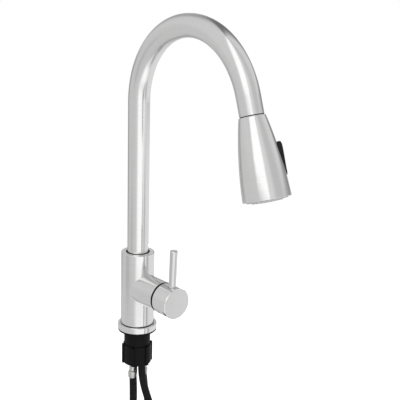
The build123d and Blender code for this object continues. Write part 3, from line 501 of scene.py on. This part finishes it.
class Paint:
    """A node tree that is built with calls."""

    def __init__(self, tree):
        self.tree = tree
        self.tree.nodes.clear()

    def add(self, kind, settings=None, inputs=None, output=0):
        """A node with its settings made first, then its sockets. Gives one of its outputs."""
        node = self.tree.nodes.new(kind)
        for key, value in (settings or {}).items():
            setattr(node, key, value)
        for key, value in (inputs or {}).items():
            if isinstance(value, Socket):
                self.tree.links.new(value.output, node.inputs[key])
            elif value is not None:
                node.inputs[key].default_value = value
        return Socket(self, node.outputs[output]) if len(node.outputs) else None

    def grain(self, place, scale, detail, rough):
        """A noise value, about 0 to 1, at a place."""
        return self.add(
            "ShaderNodeTexNoise", None,
            {"Vector": place, "Scale": scale, "Detail": detail, "Roughness": rough},
        )

    def place(self, kind="Object"):
        return self.add("ShaderNodeTexCoord", None, None, kind)

    def split(self, vector):
        """The three numbers of a vector."""
        node = self.tree.nodes.new("ShaderNodeSeparateXYZ")
        self.tree.links.new(vector.output, node.inputs[0])
        return [Socket(self, output) for output in node.outputs]

    def join(self, x, y, z):
        return self.add("ShaderNodeCombineXYZ", None, {0: x, 1: y, 2: z})

    def mix(self, share, first, second):
        """A colour between two colours."""
        return self.add(
            "ShaderNodeMix",
            {"data_type": "RGBA"},
            {"Factor": share, 6: first, 7: second},
            2,
        )

    def between(self, value, start, end):
        """0 before the start and 1 after the end, even where the end is the lower of the two."""
        return self.add("ShaderNodeMapRange", None, {"Value": value, "From Min": start, "From Max": end})

    def bump(self, height, distance, strength=1.0, normal=None):
        return self.add(
            "ShaderNodeBump", None,
            {"Height": height, "Distance": distance, "Strength": strength, "Normal": normal},
        )

    def finish(self, colour, roughness, metallic=0.0, normal=None, **constants):
        """The surface shader. Constants go on its own sockets."""
        values = {"Base Color": colour, "Roughness": roughness, "Metallic": metallic, "Normal": normal}
        for key, value in constants.items():
            values[key.replace("_", " ")] = value
        shader = self.add("ShaderNodeBsdfPrincipled", None, values)
        self.add("ShaderNodeOutputMaterial", None, {"Surface": shader})


def new_material(name):
    material = bpy.data.materials.new(name)
    material.use_nodes = True
    return material, Paint(material.node_tree)


def clamp01(value):
    return value.math("MAXIMUM", 0.0).math("MINIMUM", 1.0)


# Painted shade in the seam between the column and its flange, where the light reaches less: where it lies,
# how much darker it is painted and how much rougher it is
seam_end = 0.0236
seam_floor = 0.0098
seam_top = 0.0113
painted_seam_shade = 0.5
seam_roughness = 0.2
# How much rougher the handle's front face is than its side
face_roughness = 0.14


def brushed(name, along_of, tone=0.80, roughness=0.12, face=0.0, painted_seam_shade_of=None):
    """Stainless steel with its fine grain running round the piece. along_of gives the distance along the
    piece and two numbers that change slowly round it. face is how much lighter the handle's front face is
    painted, a painted highlight for the light it catches.
    painted_seam_shade_of gives 1 in the seam where shade is painted, and 0 elsewhere."""
    material, paint = new_material(name)
    along, side_a, side_b = along_of(paint)
    fine = paint.grain(paint.join(side_a * 40.0, side_b * 40.0, along * 3600.0), 1.0, 2.0, 0.6)
    coarse = paint.grain(paint.join(side_a * 25.0, side_b * 25.0, along * 700.0), 1.0, 2.0, 0.55)
    cloud = paint.grain(paint.place(), 18.0, 3.0, 0.6)
    streaks = fine * 0.6 + coarse * 0.4
    shade = (streaks - 0.5) * 0.16 + (cloud - 0.5) * 0.04 + tone
    rough = (streaks - 0.5) * 0.10 + (cloud - 0.5) * 0.05 + roughness
    if face:
        x, y, z = paint.split(paint.place())
        on_face = (y < handle_face)
        # Painted highlight: the handle's front face is painted lighter; its added roughness is its own
        # straight brushing
        shade = shade + on_face * face
        rough = rough + on_face * face_roughness
    # Painted shade in the seam: the steel is darker there, and also rougher
    if painted_seam_shade_of:
        seam = painted_seam_shade_of(paint)
        shade = shade * (1.0 - seam * painted_seam_shade)
        rough = rough + seam * seam_roughness
    colour = paint.add("ShaderNodeCombineColor", None, {0: shade, 1: shade * 0.997, 2: shade * 0.995})
    normal = paint.bump(streaks, 0.00002, 0.5)
    paint.finish(colour, clamp01(rough), 1.0, normal)
    return material


def flange_seam_shade(paint):
    """The top of the base flange, close round the column, where shade is painted."""
    x, y, z = paint.split(paint.place())
    reach = (x * x + y * y).math("SQRT")
    return paint.between(reach, seam_end, column_radius) * (z > seam_floor)


def column_seam_shade(paint):
    """The column's lowest edge and the groove under it, where shade is painted."""
    x, y, z = paint.split(paint.place())
    return z < seam_top


def upright_grain(paint):
    """For what is turned about the column's axis."""
    x, y, z = paint.split(paint.place())
    return z, x, y


def handle_grain(paint):
    """For what is turned about the handle's axis, which runs along Y. Its front face is brushed
    straight across."""
    x, y, z = paint.split(paint.place())
    on_face = (y < handle_face)
    return y * (1.0 - on_face) + z * on_face, x, z * (1.0 - on_face) + y * on_face


def arch_grain(paint):
    """For the spout: up the tube, round the arch and down its straight end."""
    x, y, z = paint.split(paint.place())
    up = z - arch_start
    out = y + arch_radius
    turn = up.math("ARCTAN2", out)
    on_arch = turn * arch_radius
    below = up.math("MINIMUM", 0.0)
    is_below = (up < 0.0) * (out > 0.0)
    along = on_arch * (1.0 - is_below) + below * is_below
    reach = (out * out + up * up).math("SQRT")
    return along, x, reach


def head_grain(paint):
    """For what is turned about the spray head's axis."""
    x, y, z = paint.split(paint.place())
    along = y * head_axis.y + z * head_axis.z
    return along, x, y * head_axis.z - z * head_axis.y


def column_grain(paint):
    """For the column and the cartridge housing that grows out of it."""
    x, y, z = paint.split(paint.place())
    in_housing = (y < housing_start)
    along = y * in_housing + z * (1.0 - in_housing)
    other = z * in_housing + y * (1.0 - in_housing)
    return along, x, other


def moulded(name, colour, roughness=0.45, gloss=0.5, texture=900.0, depth=0.00002):
    """Moulded plastic with a fine spark-eroded texture."""
    material, paint = new_material(name)
    here = paint.place()
    pores = paint.grain(here, texture, 2.0, 0.6)
    cloud = paint.grain(here, 45.0, 3.0, 0.6)
    darker = [*[c * 0.8 for c in colour], 1.0]
    lighter = [*[c * 1.25 for c in colour], 1.0]
    tint = paint.mix(clamp01(cloud * 0.6 + pores * 0.3), darker, lighter)
    rough = clamp01((pores - 0.5) * 0.25 + (cloud - 0.5) * 0.1 + roughness)
    paint.finish(tint, rough, 0.0, paint.bump(pores, depth, 0.5), Specular_IOR_Level=gloss)
    return material


def turned_metal(name, colour, roughness=0.25):
    """Turned or pressed metal, with a little colour change from handling."""
    material, paint = new_material(name)
    here = paint.place()
    cloud = paint.grain(here, 60.0, 3.0, 0.6)
    fine = paint.grain(here, 1500.0, 2.0, 0.6)
    darker = [*[c * 0.9 for c in colour], 1.0]
    lighter = [*[min(c * 1.06, 1.0) for c in colour], 1.0]
    tint = paint.mix(cloud, darker, lighter)
    rough = clamp01((cloud - 0.5) * 0.2 + (fine - 0.5) * 0.15 + roughness)
    paint.finish(tint, rough, 1.0, paint.bump(fine, 0.00001, 0.5))
    return material


def braided(name, strands, pitch=0.0016):
    """Black nylon braid: two sets of flat strands that cross as they wind round the hose."""
    material, paint = new_material(name)
    along, turn = paint.split(paint.place("UV"))[:2]
    lead = along / pitch
    right_hand = (lead + turn * strands).math("FRACT")
    left_hand = (lead - turn * strands).math("FRACT")
    a = ((right_hand - 0.5).math("ABSOLUTE") * 2.0)
    b = ((left_hand - 0.5).math("ABSOLUTE") * 2.0)
    over = ((lead + turn * strands).math("FLOOR") + (lead - turn * strands).math("FLOOR")) * 0.5
    checker = (over.math("FRACT") > 0.25)
    weave = (1.0 - a * a) * checker + (1.0 - b * b) * (1.0 - checker)
    dust = paint.grain(paint.place(), 160.0, 3.0, 0.6)
    gap, strand = [0.0012, 0.0012, 0.0013, 1.0], [0.015, 0.015, 0.0155, 1.0]
    colour = paint.mix(clamp01(weave * 0.7 + dust * 0.3), gap, strand)
    rough = clamp01(0.55 - weave * 0.2 + (dust - 0.5) * 0.15)
    paint.finish(colour, rough, 0.0, paint.bump(weave, 0.00035, 1.0), Specular_IOR_Level=0.14)
    return material


black = (0.006, 0.006, 0.0062)
materials = {
    # The column and the flange get painted shade in the seam between them
    "column": brushed("column_steel", column_grain, 0.80, 0.15, painted_seam_shade_of=column_seam_shade),
    "upright": brushed("flange_steel", upright_grain, painted_seam_shade_of=flange_seam_shade),
    "arch": brushed("spout_steel", arch_grain, 0.80, 0.17),
    "head": brushed("head_steel", head_grain),
    # The handle's front face is painted 0.08 lighter, a painted highlight
    "handle": brushed("handle_steel", handle_grain, 0.82, 0.12, 0.08),
    "lever": brushed("lever_steel", upright_grain, 0.76, 0.08),
    "black": moulded("black_plastic", black, 0.5, 0.1),
    "rocker": moulded("rocker_plastic", (0.006, 0.006, 0.0065), 0.3, 0.25),
    "rubber": moulded("black_rubber", (0.004, 0.004, 0.004), 0.6, 0.1),
    "nozzles": moulded("nozzle_rubber", (0.60, 0.60, 0.61), 0.5),
    "plate": moulded("plate_plastic", (0.64, 0.64, 0.65), 0.4),
    "white": moulded("cartridge_plastic", (0.72, 0.72, 0.70), 0.4),
    "ceramic": moulded("disc_ceramic", (0.85, 0.85, 0.83), 0.15),
    "pressed": turned_metal("pressed_steel", (0.60, 0.60, 0.59), 0.32),
    "plated": turned_metal("plated_nut", (0.74, 0.73, 0.70), 0.2),
    "brass": turned_metal("turned_brass", (0.72, 0.53, 0.26)),
    "supply": braided("supply_braid", 14),
    "pull": braided("pull_braid", 16),
}
finish_of = {
    "column": "column", "base_flange": "upright", "spout_tube": "arch", "head_shell": "head",
    "handle_cap": "handle", "lever_rod": "lever", "base_gasket": "rubber", "shank": "black",
    "mounting_nut": "black", "handle_ring": "black", "rocker_button": "rocker",
    "outlet_tail": "black", "spray_nozzles": "nozzles", "spray_plate": "plate", "aerator": "plate",
}
by_slot = {
    "cartridge_plastic": "white", "ceramic": "ceramic", "brass": "brass", "ferrule_steel": "pressed",
    "gasket_rubber": "rubber", "nylon": "black", "hose": "pull", "weight": "rubber",
    "black_plastic": "black", "steel": "upright", "handle_steel": "handle",
}
for node, piece in frame["nodes"].items():
    finish = finish_of.get(node) or by_slot[slot_of[node]]
    piece.data.materials.clear()
    piece.data.materials.append(materials[finish])
for name, tube in hoses.items():
    tube.data.materials.append(materials["pull" if name in ("pull_hose", "hose_reach") else "supply"])
for ferrule, finish in zip(ferrules, ("pressed", "pressed", "black")):
    ferrule.data.materials.append(materials[finish])
gasket.data.materials.append(materials["rubber"])
for piece in swivel_nuts.values():
    piece.data.materials.append(materials["plated"])
for piece in washers.values():
    piece.data.materials.append(materials["rubber"])
domed_plate.data.materials.append(materials["plate"])
nozzles.data.materials.append(materials["nozzles"])
rolled_rim.data.materials.append(materials["head"])

# The studio that the metal reflects: pale cloth walls, a tall soft box on the left, a lower one on the
# right, and darker places between and behind them. Each panel covers what is listed before it. It gives
# the bearing of its middle from the camera, half its width and the softness of its sides, in degrees to
# the right; its lowest and highest rise and their softness, as sines; and its level.
to_eye = Vector((-look.x, -look.y, 0)).normalized()
to_right = Vector((right.x, right.y, 0)).normalized()
brightest = 1.3
wall_cloth = 0.66
panels = [
    # Upper walls
    (-80, 42, 50, 0.10, 1.5, 0.30, 0.72),
    (58, 26, 30, 0.10, 1.5, 0.30, 0.61),
    (115, 26, 20, 0.10, 1.5, 0.30, 0.75),
    # High soft box, and the wall that it lights on its right
    (20, 16, 22, 0.22, 1.5, 0.20, 0.80),
    (-15.5, 25, 7, 0.21, 1.5, 0.22, 1.25),
    # Lower walls
    (122, 42, 40, -1.5, -0.06, 0.14, 0.85),
    (-20, 14, 20, -1.5, -0.05, 0.14, 0.71),
    (60, 18, 24, -1.5, -0.05, 0.14, 0.94),
    # Low soft box
    (23, 32, 16, -0.92, -0.02, 0.14, 1.22),
    (14, 30, 18, -0.52, -0.39, 0.05, 1.0),
    # The ground near the metal
    (0, 180, 1, -1.5, -0.87, 0.14, 0.62),
    (18, 26, 30, -1.5, -0.87, 0.14, 0.92),
    (84, 24, 30, -1.5, -0.87, 0.14, 0.46),
    (170, 26, 30, -1.5, -0.87, 0.14, 0.38),
    # The open sides of the studio at the camera's height
    (126, 38, 44, -0.14, 0.20, 0.14, 0.44),
    (142, 12, 18, -0.08, 0.24, 0.12, 0.26),
    (-143, 18, 26, -0.34, 0.04, 0.12, 0.36),
    (-162, 16, 22, -1.5, -0.30, 0.20, 0.44),
    # The dark room behind, and a pale door in it
    (-160, 16, 24, 0.10, 0.84, 0.20, 0.42),
    (166, 19, 22, 0.12, 1.5, 0.20, 0.18),
    (180, 9, 8, 0.27, 0.43, 0.06, 0.68),
    # Stands of the lamps
    (50, 4, 4, -0.54, -0.24, 0.05, 0.22),
    (73, 7, 8, -0.54, -0.24, 0.05, 0.42),
    (-72, 14, 16, -0.42, -0.28, 0.05, 0.52),
]


def studio_level(paint, x, y, z):
    """What the metal sees along a direction of length 1, as a share of the brightest level."""
    rightward = x * to_right.x + y * to_right.y
    eyeward = x * to_eye.x + y * to_eye.y
    bearing = rightward.math("ARCTAN2", eyeward) * (180 / math.pi)
    level = wall_cloth / brightest
    for middle, half, side, low, high, soft, shade in panels:
        off = (bearing - middle).math("WRAP", 180.0, -180.0).math("ABSOLUTE")
        cover = paint.between(off, half + side / 2, half - side / 2)
        if low > -1:
            cover = cover * paint.between(z, low - soft / 2, low + soft / 2)
        if high < 1:
            cover = cover * paint.between(z, high + soft / 2, high - soft / 2)
        level = paint.add("ShaderNodeMix", None, {"Factor": cover, 2: level, 3: shade / brightest})
    return level


# Floor: white paper to the camera, and the studio's ground to the metal
floor_level = -0.560
floor_reach = 1.6
paper_glow = 0.7
# The place whose surroundings the metal sees mirrored in the floor
middle = Vector((0, -0.08, 0.15))
floor_mesh = bpy.data.meshes.new("floor")
corners = [(-1, -1), (1, -1), (1, 1), (-1, 1)]
floor_corners = [(x * floor_reach, y * floor_reach, floor_level) for x, y in corners]
floor_mesh.from_pydata(floor_corners, [], [(0, 1, 2, 3)])
floor = bpy.data.objects.new("floor", floor_mesh)
bpy.context.scene.collection.objects.link(floor)
floor_material, paper = new_material("studio_floor")
to_camera = paper.add("ShaderNodeLightPath", None, None, "Is Camera Ray")
to_gloss = paper.add("ShaderNodeLightPath", None, None, "Is Glossy Ray")
matte = paper.add("ShaderNodeBsdfDiffuse", None, {"Color": (0.8, 0.8, 0.8, 1.0)})
glow_inputs = {"Color": (1.0, 1.0, 1.0, 1.0), "Strength": to_camera * paper_glow}
glow = paper.add("ShaderNodeEmission", None, glow_inputs)
sheet = paper.add("ShaderNodeAddShader", None, {0: matte, 1: glow})
fx, fy, fz = paper.split(paper.place())
away, across, down = fx - middle.x, fy - middle.y, fz - middle.z
distance = (away * away + across * across + down * down).math("SQRT")
mirrored = studio_level(paper, away / distance, across / distance, down / distance)
image = paper.add("ShaderNodeEmission", None, {"Color": mirrored, "Strength": brightest})
floor_look = paper.add("ShaderNodeMixShader", None, {0: to_gloss, 1: sheet, 2: image})
paper.add("ShaderNodeOutputMaterial", None, {"Surface": floor_look})
floor_mesh.materials.append(floor_material)

world = bpy.data.worlds.new("studio")
world.use_nodes = True
bpy.context.scene.world = world
sky = Paint(world.node_tree)
seen = sky.add("ShaderNodeLightPath")
dx, dy, dz = sky.split(sky.place("Generated"))
white = 1.0 / brightest
studio = sky.mix(seen, studio_level(sky, dx, dy, dz), [white, white, white, 1.0])
lit = sky.add("ShaderNodeBackground", None, {"Color": studio, "Strength": brightest})
sky.add("ShaderNodeOutputWorld", None, {"Surface": lit})


def soft_lamp(name, aim, bearing, rise, distance, width, tall, power):
    """A soft box aimed at a point, at a bearing from the camera to its right and a rise, in degrees."""
    turn, up = math.radians(bearing), math.radians(rise)
    level = to_eye * math.cos(turn) + to_right * math.sin(turn)
    way = level * math.cos(up) + Vector((0, 0, math.sin(up)))
    data = bpy.data.lights.new(name, "AREA")
    data.shape = "RECTANGLE"
    data.size = width
    data.size_y = tall
    data.energy = power
    lamp = bpy.data.objects.new(name, data)
    bpy.context.scene.collection.objects.link(lamp)
    lamp.location = Vector(aim) + way * distance
    lamp.rotation_euler = way.to_track_quat("Z", "Y").to_euler()
    lamp.visible_camera = False
    lamp.visible_glossy = False


soft_lamp("key", aim=(0, -0.2, 0.3), bearing=-15, rise=34, distance=1.5, width=0.66, tall=1.1, power=5.0)
